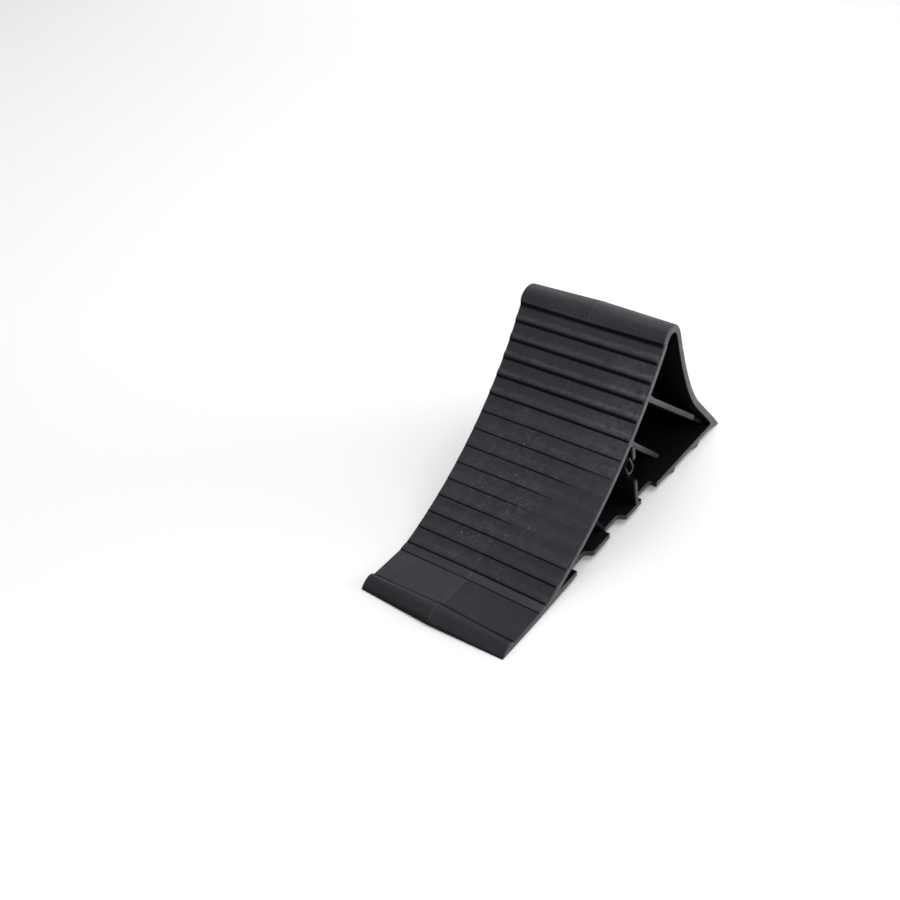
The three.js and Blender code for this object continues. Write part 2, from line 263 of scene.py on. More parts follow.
CREST_FRONT = [(38.4, 138.6), (38.7, 142.6), (43.9, 147.0), (51.0, 146.8)]
CREST_BACK = [(51.0, 146.8), (58.2, 146.6), (62.6, 141.6), (66.3, 134.1)]
CREST_INSIDE = ([(43.8, 133.6), (45.6, 137.6), (48.2, 140.6), (51.8, 140.6)],
                [(51.8, 140.6), (56.4, 140.6), (58.8, 137.2), (61.1, 131.9)])
CREST_LIP = [(38.15, 137.9), (38.1, 137.1), (38.05, 136.3), (37.9, 135.6), (37.6, 134.9)]
BACK_ARC = [(66.3, 134.1), (92.0, 72.4), (117.9, 47.3)]
HEEL_TOP = (152.7, 13.5)
TOE_FLAT_START, TOE_FLAT_END = (-149.6, 4.0), (-120.9, 5.1)
TOE_LIP = [(-150.8, 4.0), (-153.9, 8.1), (-157.6, 7.4), (-162.4, 3.7)]
TOE_RIGHT_SHADE = (0.0, 0.28)  # painted shade: the toe's right half is painted darker than its left half
# painted shade on the left half of the crest's rear, and a painted highlight towards its right
CREST_REAR_SHADE, CREST_REAR_HIGHLIGHT = (0.2, 0.0), 0.7


def spots(points, edge, **traits):
    return [Spot(p, edge, **traits) for p in points]


def tooth(start, tip, end):
    """A sawtooth on the underside, from its toe side to its heel side."""
    blunt = 0.8  # the width of its tip
    return [*line((start, BASE_UNDER), (tip, 0.0), 4),
            *line((tip + blunt, 0.0), (end, BASE_UNDER), 3)]


def heel_underside():
    points = [(SCALLOP_END, BASE_UNDER), *tooth(70.0, 81.0, 82.6), *tooth(109.6, 123.6, 128.0)]
    points += [(146.7, BASE_UNDER - 0.3), (155.0, 2.3), (163.6, 0.1), (164.3, 0.0)]
    sole = spots(points, EDGE_THIN, crown=0.0)
    sole[-1].crown = 1.0
    return sole


def heel_and_back():
    nose = bezier([(164.8, 0.2), (165.2, 0.9), (164.4, 1.7)], 4)
    nose = spots(nose, EDGE_TOE, crown=END_CROWN, wear=0.4)
    shoulder = zip(line((163.2, 2.8), (153.5, 12.7), 4), (1.8, 1.6, 1.4, 1.2, 1.0))
    shoulder = [Spot(p, EDGE_TOE, crown=crown) for p, crown in shoulder]
    slope = spots(line(HEEL_TOP, (118.9, 46.3), 8), EDGE_BACK)
    wall = spots(bezier(BACK_ARC, 26)[::-1], EDGE_BACK)
    return [*nose, *shoulder, *slope, *wall]


def crest():
    # the crest's rear gets painted shade on its left and a painted highlight towards its right
    rear = spots(bezier(CREST_BACK, 12)[::-1][1:], EDGE_BACK, dull=CREST_REAR_SHADE)
    for spot in rear:
        spot.right_highlight = CREST_REAR_HIGHLIGHT
    front = spots(bezier(CREST_FRONT, 12)[::-1][1:], EDGE_BACK)
    # painted shade under the crest's overhanging lip
    lip = spots(CREST_LIP, EDGE_TREAD, hollow=1.0)
    lip[-1].hollow = 0.6
    return [*rear, *front, *lip]


# Each of the first pairs gives a measure of the upper beads and how much less it is on the lower
# ones. Measures along the tread are in degrees, up from the bead's foot.
BEAD_RISE, RISE_LESS = 2.1, 1.5  # mm
FACE_WIDTH, FACE_LESS = 0.50, 0.38
RAMP_END, RAMP_LESS = 1.28, 0.13
# lightening of the bead ramps and tops, partly for wear and partly a painted highlight
RAMP_WEAR_AND_SHINE, RAMP_WEAR_AND_SHINE_LESS = 0.8, 0.55
TOP_WEAR_AND_SHINE, TOP_WEAR_AND_SHINE_LESS = 0.7, 0.5
BEAD_ROUND = 0.20
RUBBED_SHARE = 0.95  # how much of the middle beads is worn away on their right
UPPER_RIGHT_HIGHLIGHT = 0.95  # painted highlight added to the upper beads on their right
LOWEST_SHADE = (0.1, 0.26)  # painted shade added on the lowest beads, on the left and on the right

# the under-face of a bead: share of its width, share of the bead's rise, and how much painted shade
# it gets
BEAD_FACE = ((1.0, 0.97, 0.15), (0.85, 0.88, 0.5), (0.6, 0.62, 0.85), (0.35, 0.28, 1.0),
             (0.15, 0.07, 1.0), (0.0, 0.0, 1.0))


def bead_points(number):
    """One pitch of the tread, from its upper end down to the foot of the bead.

    The upper beads are bold round ridges; further down they become low steps over a thin groove.
    """
    foot = TREAD_TOP - number * BEAD_PITCH
    low = smoothstep(3.6, 6.4, number)
    lowest = smoothstep(11.5, 13.0, number)
    rise = BEAD_RISE - RISE_LESS * low
    face = FACE_WIDTH - FACE_LESS * low
    crown = face + BEAD_ROUND
    ramp = RAMP_END - RAMP_LESS * low
    shares = (0.97, 0.8, 0.62) if number > 1 else (0.78, 0.62)
    out = [Spot(tread_point(foot + BEAD_PITCH * share), EDGE_TREAD) for share in shares]
    # the ramp and crest are lightened, for wear and as a painted highlight
    out.append(Spot(tread_point(foot + ramp + 0.05), EDGE_TREAD, wear=0.25 + 0.35 * low))
    for part in (0.0, 0.2, 0.4, 0.6, 0.8):
        above = ramp + (crown - ramp) * part
        height = smoothstep(-0.25, 1.0, part) * rise if part else 0.02
        wear = RAMP_WEAR_AND_SHINE - RAMP_WEAR_AND_SHINE_LESS * low
        out.append(Spot(tread_point(foot + above), EDGE_TREAD, bead=height, wear=wear))
    wear = TOP_WEAR_AND_SHINE - TOP_WEAR_AND_SHINE_LESS * low
    out.append(Spot(tread_point(foot + crown), EDGE_TREAD, bead=rise, wear=wear))
    # painted shade on the bead's under-face and in the groove at its foot
    for part, share, shade in BEAD_FACE:
        place = tread_point(foot + face * part)
        out.append(Spot(place, EDGE_TREAD, bead=rise * share, hollow=shade))
    out.append(Spot(tread_point(foot - 0.06), EDGE_TREAD, hollow=0.8))
    out.append(Spot(tread_point(foot - 0.11), EDGE_TREAD))
    rubbed = RUBBED_SHARE * smoothstep(6.0, 7.6, number) * (1 - smoothstep(11.2, 12.2, number))
    rubbed_from = max(46 - 14 * (number - 7), 4)  # further left with each bead down
    for spot in out:
        spot.rubbed = (rubbed, rubbed_from)
        spot.scuffs = FEW_SCUFFS + (1 - FEW_SCUFFS) * smoothstep(4, 8, number)
        # a painted highlight on the right of the upper beads, painted shade on the lowest ones
        spot.right_highlight = UPPER_RIGHT_HIGHLIGHT * smoothstep(0.5, 2, number) * (1 - smoothstep(6, 9, number))
        spot.dull = tuple(side * lowest for side in LOWEST_SHADE)
    return out


def toe():
    """From the foot of the last bead down a small step, over the flat and its lip to the tip."""
    low = tread_point(TREAD_TOP - BEAD_COUNT * BEAD_PITCH)
    to_bead = spots(line((low[0] - 1.2, low[1] - 0.35), (-119.2, 5.95), 4), EDGE_TOE)
    # a lightened edge, then painted shade in the step's groove
    step = [
        Spot((-119.5, 5.9), EDGE_TOE, wear=0.5),
        Spot((-119.9, 5.6), EDGE_TOE, hollow=0.9),
        Spot((-120.3, 5.2), EDGE_TOE, hollow=0.9),
        Spot((-120.6, 5.11), EDGE_TOE),
    ]
    # painted shade on the flat's right half
    flat = spots(line(TOE_FLAT_END, TOE_FLAT_START, 12), EDGE_TOE, dull=TOE_RIGHT_SHADE)
    # a lightened edge, then painted shade in the groove before the lip
    foot = [
        Spot((-149.9, 3.99), EDGE_TOE, wear=0.6, dull=TOE_RIGHT_SHADE),
        Spot((-150.1, 3.98), EDGE_TOE, hollow=1.0),
        Spot((-150.8, 4.0), EDGE_TOE, hollow=1.0),
    ]
    # painted shade on the lip, darkest at the groove and more on its right half
    lip = [Spot(p, EDGE_TOE, crown=1.6, hollow=max(1.0 - 0.3 * i, 0.1), dull=(0.02 * i, 0.12))
           for i, p in enumerate(bezier(TOE_LIP, 10)[1:])]
    # painted shade on the bevel, more on its left half
    bevel = [
        Spot((-163.5, 2.55), EDGE_TOE, crown=END_CROWN, hollow=0.2, dull=(0.25, 0.0)),
        Spot((-164.4, 1.5), EDGE_TOE, crown=END_CROWN, hollow=0.35, dull=(0.3, 0.0)),
        Spot((-164.9, 0.8), EDGE_TOE, crown=END_CROWN, hollow=0.8),
        Spot((-165.0, 0.0), EDGE_THIN, crown=END_CROWN, hollow=1.0),
    ]
    return [*to_bead, *step, *flat, *foot, *lip, *bevel]


def toe_underside():
    points = [(-164.2, 0.0), (-145.0, 0.0), (UNDER_START, 0.0), (-110.0, underside(-110.0)),
              (-92.0, underside(-92.0)), (SCALLOP_START - 0.9, underside(SCALLOP_START)),
              (SCALLOP_START, underside(SCALLOP_START))]
    return spots(points, EDGE_THIN, crown=0.0)


def cavity_side():
    """The ring's inner face, from the toe's end of the base up and over to the heel's end."""
    floor = BASE_TOE_TOP
    tip = math.degrees(math.acos((TYRE_Z - floor) / (TYRE_RADIUS + TREAD_WALL)))
    tip_y = tread_point(tip, TREAD_WALL)[0]
    points = [(SCALLOP_START, floor), (SCALLOP_START - 0.9, floor), (tip_y + 3.0, floor)]
    points += bezier([(tip_y + 1.6, floor), (tip_y, floor), tread_point(tip + 0.3, TREAD_WALL)], 4)
    points += arc_between(tip + 1.0, TREAD_TOP, TREAD_WALL, 34)
    points += bezier(CREST_INSIDE[0], 8)[1:] + bezier(CREST_INSIDE[1], 8)[1:]
    outer = bezier(BACK_ARC, 22) + line(BACK_ARC[-1], HEEL_TOP, 6)[1:]
    inner = [(y + n_y * BACK_WALL, z + n_z * BACK_WALL)
             for (y, z), (n_y, n_z) in zip(outer, right_normals(outer, closed=False))]
    inner = [p for p in inner[1:] if p[1] > BASE_TOP + 1.5]
    run = (inner[-1][0] - inner[-2][0]) / (inner[-1][1] - inner[-2][1])
    corner_y = inner[-1][0] + (BASE_TOP - inner[-1][1]) * run
    fillet = bezier([inner[-1], (corner_y, BASE_TOP), (corner_y - 4.0, BASE_TOP)], 5)[1:]
    points += inner + fillet + [(110.0, BASE_TOP), (80.0, BASE_TOP), (SCALLOP_END, BASE_TOP)]
    # painted shade over the whole inner face
    return spots(points, EDGE_THIN, crown=0.0, hollow=1.0)


EDGE_TURNS = (0, 18, 36, 54, 72, 90)
LINE_LIGHTENING_TREAD, LINE_LIGHTENING = 0.8, 3.5  # how much lighter the parting line is painted, on the tread and elsewhere
RIM_HIGHLIGHT_TREAD, RIM_HIGHLIGHT = 2.2, 0.9  # painted highlight on the flat side faces, set at their rims, on the tread and elsewhere
ROUND_SHADE = 0.45  # painted shade on the rounds of the tread's side edges
FLASH = 0.12  # height of the parting line


def edge_stations():
    """Stations across the width: (distance from the middle, turn of the side edge's round, side).

    Stations on the flat have no turn, and those on the round have no distance.
    """
    inner = [0.0, 0.3, 0.7, 12.0, 24.0, 36.0, 46.0, 54.0, 57.0, 58.2]
    half = [(x, None) for x in inner] + [(None, turn) for turn in EDGE_TURNS]
    mirrored = [(x, turn, -1) for x, turn in reversed(half[1:])]
    return mirrored + [(x, turn, 1) for x, turn in half]


def ring_section(profile, normals, x, turn, side):
    ring = []
    for spot, (n_y, n_z) in zip(profile, normals):
        if turn is None:
            across, inset = x, 0.0
        else:
            across = HALF_WIDTH - spot.edge[0] * (1 - math.sin(math.radians(turn)))
            inset = spot.edge[1] * (1 - math.cos(math.radians(turn)))
        fade = 1 - 0.75 * smoothstep(*BEAD_FADE, across)
        fade *= 1 - 0.9 * spot.worn(across * side)
        flash = FLASH if x == 0.0 else 0.0
        draft = spot.crown * (CROWN * (1 - across / HALF_WIDTH) + flash)
        out = draft + spot.bead * fade - inset
        ring.append((across * side, spot.y + n_y * out, max(spot.z + n_z * out, 0.0)))
    return ring


def ring_mesh():
    profile = [*heel_underside(), *heel_and_back(), *crest()]
    for number in range(1, BEAD_COUNT + 1):
        profile += bead_points(number)
    profile += [*toe(), *toe_underside(), *cavity_side()]
    normals = right_normals([(spot.y, spot.z) for spot in profile])
    stations = edge_stations()
    rings = [ring_section(profile, normals, *station) for station in stations]
    wear, hollow, scuffs = [], [], []
    for x, turn, side in stations:
        place = (HALF_WIDTH if x is None else x) * side
        scratched = 1 - 0.75 * smoothstep(10, 50, abs(place + 12))
        scuffs += [spot.scuffs * scratched for spot in profile]
        seam = 1.0 if x == 0.0 else 0.0
        flat = 1.0 if turn is None or turn < 30 else 0.0
        for spot in profile:
            on_tread = spot.edge is EDGE_TREAD
            shine = LINE_LIGHTENING_TREAD if on_tread else LINE_LIGHTENING
            # the rims get a painted highlight that spreads over the flat side faces, and spots on the
            # right half a painted highlight of their own
            rim = (RIM_HIGHLIGHT_TREAD if on_tread else RIM_HIGHLIGHT) if turn == EDGE_TURNS[-1] else 0.0
            worn = spot.wear + spot.right_highlight * (1 - spot.hollow) * smoothstep(10, 45, place)
            wear.append(max(worn * flat, rim, seam * shine * min(spot.crown, 1.0)))
            # painted shade on the rounded side edges, in grooves and inside, with more on one half
            # where a spot asks for it
            under = ROUND_SHADE if on_tread and turn in EDGE_TURNS[1:-1] else 0.0
            dull = (spot.hollow + spot.dull[side > 0]) * flat
            hollow.append(max(dull * (1 - spot.worn(place)), under))
    return (*loft_rings(rings), {"wear": wear, "hollow": hollow, "scuffs": scuffs})


def make_ring(material):
    ring = new_piece("chock_shell", ring_mesh(), material)
    settle(ring, (
        "toe_lip", "toe_root", "tread_lower", "tread_upper", "crest_cap", "back_wall_upper",
        "back_wall_lower", "heel_ramp", "heel_edge", "base_front", "base_rear", "tooth_front",
        "tooth_rear",
    ))


# --- the middle of the base, with its lugs and scallops -------------------------------------------


def base_plan():
    """The plate's plan outline, counter-clockwise, its ends hidden inside the ring."""
    inner, outer = HALF_WIDTH - SCALLOP_DEPTH, HALF_WIDTH
    corners = [(inner - 6, SCALLOP_START - 4, 0), (inner + 1.8, SCALLOP_START - 4, 0),
               (inner + 1.8, SCALLOP_START - 0.2, 0.3), (inner, SCALLOP_START + 2.0, 1.4)]
    for front, rear in LUGS:
        corners += [(inner, front - LUG_SLANT - 0.6, 2.4), (outer, front, 1.6),
                    (outer, rear, 1.4), (inner, rear, 2.0)]
    corners += [(inner, SCALLOP_END - 2.0, 1.4), (inner + 1.8, SCALLOP_END + 0.2, 0.3),
                (inner + 1.8, SCALLOP_END + 4, 0), (inner - 6, SCALLOP_END + 4, 0)]
    right = round_corners(corners)
    return right + [(-x, y) for x, y in reversed(right)]


def base_mesh():
    plan = base_plan()
    normals = right_normals(plan)
    hidden = 0.02  # keeps its faces inside the ring's where the two overlap
    edge = EDGE_THIN[0]
    rings, hollow = [], []
    for level, turns in (("under", (0, 30, 60, 90)), ("top", (90, 60, 30, 0))):
        for turn in turns:
            inset = edge * (1 - math.sin(math.radians(turn)))
            shift = edge * (1 - math.cos(math.radians(turn))) + hidden
            ring = []
            for (x, y), (n_x, n_y) in zip(plan, normals):
                z = underside(y) + shift if level == "under" else base_top(y) - shift
                ring.append((x - n_x * inset, y - n_y * inset, z))
            rings.append(ring)
            # painted shade on the plate's top, inside the cavity
            hollow += [1.0 if level == "top" and turn < 45 else 0.0] * len(plan)
    return (*loft_rings(rings), {"hollow": hollow})


def make_base(material):
    plate = new_piece("base_plate", base_mesh(), material)
    lugs = [f"lug_{place}_{side}" for place in ("front", "rear") for side in ("left", "right")]
    settle(plate, ("base_middle", *lugs))


# --- the web, ribs, struts and sockets ------------------------------------------------------------


SIDES = (("right", 1), ("left", -1))
FLUSH = HALF_WIDTH - 0.03
RECESS = 6.0
EVEN = [i / 24 for i in range(25)]
ROOT_RUN = 12.0  # how far along a rib its extra thickness at the start reaches
SHADE_RUN = 0.8  # the shade of a free edge's round gives way to the cavity's over this

# ((y, z), (y, z)) lines from the tread down; UPPER_FLUSH and MIDDLE_FLUSH are the shares of
# their lines where the rib's edge is flush with the side
UPPER_RIB = ((21.0, 102.4), (149.5, 7.1))
UPPER_FLUSH = (109.0 - 21.0) / (149.5 - 21.0)
MIDDLE_RIB = ((-4.0, 78.6), (83.6, 6.6))
MIDDLE_FLUSH = (41.0 + 4.0) / (83.6 + 4.0)
TOE_RIB = ((-47.5, 41.5), (-20.1, 6.8))
STRUT = ((3.8, 71.0), (19.8, 5.5))
SOCKET_CENTRE, SOCKET_TILT = (1.2, 54.4), 32.0
SOCKET_OUTER, SOCKET_BORE, SOCKET_MOUTH = (8.8, 18.8), (5.9, 15.7), 59.2


def make_web(material):
    """The thin wall on the mid-plane, whose rim is hidden inside the ring."""
    inside = [(spot.y, spot.z) for spot in cavity_side()]
    normals = right_normals(inside)
    outline = [(y - n_y * EMBED, z - n_z * EMBED) for (y, z), (n_y, n_z) in zip(inside, normals)]
    rings = [[(x, y, z) for y, z in outline] for x in (-WEB_HALF, WEB_HALF)]
    # painted shade over the whole web
    traits = {"hollow": [1.0] * (2 * len(outline))}
    web = new_piece("moulded_web", (*loft_rings(rings), traits), material)
    settle(web, ("center_web",))


def rib_mesh(rib, side):
    """A slab that grows out of the web along a line of (y, z) points, its free edge rounded."""
    run = Vector(rib.end) - Vector(rib.start)
    along = run.normalized()
    across = Vector((-along.y, along.x))
    rings, hollow = [], []
    for share in rib.stations:
        centre = Vector(rib.start) + run * share
        half = (rib.thickness[0] + (rib.thickness[1] - rib.thickness[0]) * share) / 2
        root = rib.root * max(1 - share * run.length / ROOT_RUN, 0.0) ** 2
        far = rib.reach(share)
        rounding = min(0.6 + 0.12 * (FLUSH - far), half * 0.9)
        neck = far - rounding
        arc = [(rounding * math.sin(turn), rounding * (1 - math.cos(turn)))
               for turn in map(math.radians, (0, 30, 60, 90))]
        section = [(WEB_HALF - EMBED, -half), (neck - SHADE_RUN, -half)]
        section += [(neck + out, -half + drop) for out, drop in arc]
        section += [(neck + out, half + root - drop) for out, drop in reversed(arc)]
        section += [(neck - SHADE_RUN, half + root), (WEB_HALF - EMBED, half + root)]
        rings.append([(x * side, *(centre + across * offset)) for x, offset in section])
        # painted shade on a rib's sides, and on its free edge by how far it is recessed and towards
        # its end
        depth = max(min((FLUSH - far) / 2.0, 1.0), rib.fade * smoothstep(0.0, 0.6, share))
        hollow += [1.0, 1.0, *[depth] * (2 * len(arc)), 1.0, 1.0]
    return (*loft_rings(rings), {"hollow": hollow})


class Rib:
    """A slab between the web and the side."""

    def __init__(self, start, end, thickness, reach, steps=(), root=0.0, fade=0.0):
        self.start, self.end = start, end
        self.thickness = thickness  # at both ends
        self.reach = reach  # a function from the share of its line to how far out it reaches
        self.root = root  # how much thicker it is where it starts
        self.fade = fade  # how much painted shade its free edge gets towards its end
        self.stations = fine(*steps)


def upper_reach(share):
    return FLUSH - RECESS * smoothstep(UPPER_FLUSH, UPPER_FLUSH + 0.012, share)


def middle_reach(share):
    first = 2.2 * smoothstep(MIDDLE_FLUSH, MIDDLE_FLUSH + 0.16, share)
    return FLUSH - first - 20.0 * smoothstep(MIDDLE_FLUSH + 0.12, MIDDLE_FLUSH + 0.5, share)


def toe_reach(share):
    return FLUSH - RECESS


def strut_reach(share):
    height = STRUT[0][1] + (STRUT[1][1] - STRUT[0][1]) * share
    notch = smoothstep(33.5, 35.5, height) * (1 - smoothstep(56.0, 58.0, height))
    return FLUSH - RECESS * notch


def fine(*places):
    """Even stations with extra ones around the places where the free edge steps."""
    around = (-0.012, -0.004, 0.0, 0.004, 0.008, 0.012, 0.02)
    extra = [place + step for place in places for step in around]
    return sorted({round(s, 4) for s in EVEN + extra if 0.0 <= s <= 1.0})


def make_ribs(material):
    notch_ends = [(STRUT[0][1] - z) / (STRUT[0][1] - STRUT[1][1]) for z in (57.0, 34.5)]
    plans = {
        "upper_rib": Rib(*UPPER_RIB, (4.2, 4.2), upper_reach, (UPPER_FLUSH,), root=1.5, fade=0.45),
        "middle_rib": Rib(*MIDDLE_RIB, (4.2, 3.2), middle_reach, (MIDDLE_FLUSH,), root=4.0,
                          fade=0.9),
        "toe_rib": Rib(*TOE_RIB, (3.6, 3.6), toe_reach, root=1.5),
        "strut": Rib(*STRUT, (3.8, 3.6), strut_reach, notch_ends),
    }
    for name, rib in plans.items():
        for side_name, side in SIDES:
            piece = new_piece(f"moulded_{name}_{side_name}", rib_mesh(rib, side), material)
            settle(piece, (f"{name}_{side_name}",))


def oblong(size, grow=0.0):
    wide, tall = size[0] + 2 * grow, size[1] + 2 * grow
    radius, reach = wide / 2, (tall - wide) / 2
    points = []
    for centre, first in ((reach, 0), (-reach, 180)):
        for i in range(13):
            turn = math.radians(first + 15 * i)
            points.append(Vector((radius * math.cos(turn), centre + radius * math.sin(turn))))
    spin = Matrix.Rotation(math.radians(SOCKET_TILT), 2)
    return [(spin @ p) + Vector(SOCKET_CENTRE) for p in points]


def make_sockets(material):
    """The oblong tube beside each strut, its mouth rounded and its foot hidden in the web."""
    rim = 0.6
    arc = [(math.sin(turn), 1 - math.cos(turn)) for turn in map(math.radians, (0, 30, 60, 90))]
    neck = SOCKET_MOUTH - rim
    # distance from the middle, size, what is added to it, and how much painted shade it gets
    steps = [(WEB_HALF - EMBED, SOCKET_OUTER, 0.0, 1.0), (neck - SHADE_RUN, SOCKET_OUTER, 0.0, 1.0)]
    steps += [(neck + rim * out, SOCKET_OUTER, -rim * drop, 0.0) for out, drop in arc]
    steps += [(neck + rim * out, SOCKET_BORE, rim * drop, 0.0) for out, drop in reversed(arc)]
    steps += [(neck - SHADE_RUN, SOCKET_BORE, 0.0, 1.0), (WEB_HALF - EMBED, SOCKET_BORE, 0.0, 1.0)]
    for side_name, side in SIDES:
        rings = [[(x * side, y, z) for y, z in oblong(size, grow)] for x, size, grow, _ in steps]
        vertices, faces = loft_rings(rings, closed_ends=False)
        count = len(rings[0])
        last = (len(rings) - 1) * count
        faces += [(last + i, last + (i + 1) % count, (i + 1) % count, i) for i in range(count)]
        # painted shade on the toe side of the socket's rim
        toe_side_shade = [0.9 if y < SOCKET_CENTRE[0] - 1.5 else 0.0 for _, y, _ in rings[0]]
        traits = {"hollow": [max(shade, dull) for *_, shade in steps for dull in toe_side_shade]}
        piece = new_piece(f"moulded_socket_{side_name}", (vertices, faces, traits), material)
        settle(piece, (f"bar_socket_{side_name}",))


# --- material -------------------------------------------------------------------------------------


class Nodes:
    """A short way to add and join shader nodes."""

    def __init__(self, name):
        self.material = bpy.data.materials.new(name)
        self.material.use_nodes = True
        self.tree = self.material.node_tree
        self.shader = self.tree.nodes["Principled BSDF"]
        self.place = self.add("ShaderNodeTexCoord").outputs["Object"]

    def add(self, kind, **values):
        node = self.tree.nodes.new(kind)
        for key, value in values.items():
            if key in node.inputs:
                node.inputs[key].default_value = value
            else:
                setattr(node, key, value)
        return node

    def link(self, output, target):
        self.tree.links.new(output, target)

    def trait(self, name):
        """One of the values that new_piece keeps at each vertex."""
        return self.add("ShaderNodeAttribute", attribute_name=name).outputs["Fac"]

    def stretched(self, scale, turn):
        """The place turned about Z and then scaled; a high Y scale makes streaks along its X."""
        turned = self.add("ShaderNodeMapping", Rotation=(0, 0, turn))
        self.link(self.place, turned.inputs["Vector"])
        mapping = self.add("ShaderNodeMapping", Scale=scale)
        self.link(turned.outputs["Vector"], mapping.inputs["Vector"])
        return mapping.outputs["Vector"]

    def noise(self, vector, scale, detail=3.0, roughness=0.55):
        node = self.add("ShaderNodeTexNoise", Scale=scale, Detail=detail, Roughness=roughness)
        self.link(vector, node.inputs["Vector"])
        return node.outputs["Fac"]

    def ramp(self, value, low, high, out_low=0.0, out_high=1.0):
        node = self.add("ShaderNodeMapRange")
        node.inputs["From Min"].default_value = low
        node.inputs["From Max"].default_value = high
        node.inputs["To Min"].default_value = out_low
        node.inputs["To Max"].default_value = out_high
        self.link(value, node.inputs["Value"])
        return node.outputs["Result"]

    def math(self, operation, a, b):
        node = self.add("ShaderNodeMath", operation=operation)
        for socket, value in zip(node.inputs, (a, b)):
            if isinstance(value, (int, float)):
                socket.default_value = value
            else:
                self.link(value, socket)
        return node.outputs["Value"]

    def mix(self, share, a, b):
        node = self.add("ShaderNodeMix", data_type="RGBA")
        for socket, value in zip((node.inputs[0], node.inputs[6], node.inputs[7]), (share, a, b)):
            if isinstance(value, (int, float, tuple)):
                socket.default_value = value
            else:
                self.link(value, socket)
        return node.outputs[2]

    def bump(self, height, distance, strength, normal=None):
        node = self.add("ShaderNodeBump", Distance=distance, Strength=strength)
        self.link(height, node.inputs["Height"])
        if normal is not None:
            self.link(normal, node.inputs["Normal"])
        return node.outputs["Normal"]


PLASTIC_DARK = (0.0088, 0.0092, 0.0106, 1)
PLASTIC_LIGHT = (0.0165, 0.0170, 0.0190, 1)
# lightens for wear and as a painted highlight on edges, crests and side faces
RUBBED_AND_LIT_COLOUR = (0.06, 0.06, 0.065, 1)
SCRATCH_COLOUR = (0.075, 0.075, 0.08, 1)
SPECK_COLOUR = (0.16, 0.16, 0.17, 1)
# painted shade for grooves, under-faces and the inside of the moulding
PAINTED_SHADE_COLOUR = (0.0028, 0.0032, 0.0038, 1)
SHEEN_TINT = (0.87, 0.91, 1.0, 1)
# the specular level falls to the second value where shade is painted
SHEEN, SHADED_SHEEN = 0.42, 0.06
SMOOTH_ROUGHNESS, DULL_ROUGHNESS = 0.40, 0.54
SCRATCH_TURNS = (-0.95, -1.1, -0.7, 0.5)  # radians from the width
SCRATCH_BAND = 0.012  # half the width of the band of the noise that makes a scratch


def scratches(nodes, turn, seed, fineness, spread):
    """Thin streaks: a stretched noise cut to a narrow band, and kept only in patches."""
    lines = nodes.noise(nodes.stretched((22, fineness, 22), turn), 1.0 + seed * 0.07, 2.0)
    band = nodes.math("COMPARE", lines, 0.5)
    band.node.inputs[2].default_value = SCRATCH_BAND
    patch = nodes.ramp(nodes.noise(nodes.place, 40 + 13 * seed, 2.0), spread, spread + 0.1)
    return nodes.math("MULTIPLY", band, patch)


def all_scratches(nodes, scuffs):
    marks = scratches(nodes, 0.0, 1, 420, 0.58)
    for index, turn in enumerate(SCRATCH_TURNS, start=2):
        marks = nodes.math("MAXIMUM", marks, scratches(nodes, turn, index, 480, 0.52))
    return nodes.math("MULTIPLY", marks, scuffs)


def pale_specks(nodes, scuffs):
    dots = nodes.add("ShaderNodeTexVoronoi", Scale=90.0)
    nodes.link(nodes.place, dots.inputs["Vector"])
    cores = nodes.ramp(dots.outputs["Distance"], 0.045, 0.06, 1.0, 0.0)
    return nodes.math("MULTIPLY", scuffs, cores)


def plastic_colour(nodes, marks, specks, wear, hollow):
    """Faint bands and clouds, then rubbed places and painted highlights, scratches and specks, then
    painted shade.
    """
    bands = nodes.noise(nodes.stretched((9, 380, 380), 0.0), 1.0, 1.0)
    clouds = nodes.noise(nodes.place, 28, 4.0)
    shade = nodes.math("ADD", clouds, nodes.math("MULTIPLY", bands, 0.8))
    colour = nodes.mix(nodes.ramp(shade, 0.65, 1.15), PLASTIC_DARK, PLASTIC_LIGHT)
    patchy = nodes.ramp(nodes.noise(nodes.place, 240, 3.0), 0.32, 0.7)
    # lightens for wear and as a painted highlight
    rubbed = nodes.math("MULTIPLY", nodes.math("MULTIPLY", wear, patchy), 0.6)
    colour = nodes.mix(rubbed, colour, RUBBED_AND_LIT_COLOUR)
    colour = nodes.mix(nodes.math("MULTIPLY", marks, 0.65), colour, SCRATCH_COLOUR)
    colour = nodes.mix(specks, colour, SPECK_COLOUR)
    # painted shade in grooves, under-faces and the inside
    return nodes.mix(hollow, colour, PAINTED_SHADE_COLOUR)


def plastic_roughness(nodes, hollow):
    blotch = nodes.noise(nodes.place, 70, 5.0, 0.6)
    blotch = nodes.ramp(blotch, 0.3, 0.7, SMOOTH_ROUGHNESS, DULL_ROUGHNESS)
    return nodes.math("ADD", blotch, nodes.math("MULTIPLY", hollow, 0.3))


def plastic_relief(nodes, marks):
    grain = nodes.bump(nodes.noise(nodes.place, 2600, 2.0), 0.00006, 0.35)
    ripple = nodes.bump(nodes.noise(nodes.place, 130, 3.0), 0.0005, 0.12, grain)
    return nodes.bump(marks, 0.00012, 0.5, ripple)


def black_plastic():
    nodes = Nodes("black_plastic")
    shader = nodes.shader
    wear, hollow, scuffs = (nodes.trait(name) for name in TRAITS)
    marks = all_scratches(nodes, scuffs)
    colour = plastic_colour(nodes, marks, pale_specks(nodes, scuffs), wear, hollow)
    nodes.link(colour, shader.inputs["Base Color"])
    # the specular level drops where shade is painted, hiding reflections there
    sheen = nodes.ramp(hollow, 0, 1, SHEEN, SHADED_SHEEN)
    nodes.link(sheen, shader.inputs["Specular IOR Level"])
    shader.inputs["Specular Tint"].default_value = SHEEN_TINT
    nodes.link(plastic_roughness(nodes, hollow), shader.inputs["Roughness"])
    nodes.link(plastic_relief(nodes, marks), shader.inputs["Normal"])
    return nodes.material


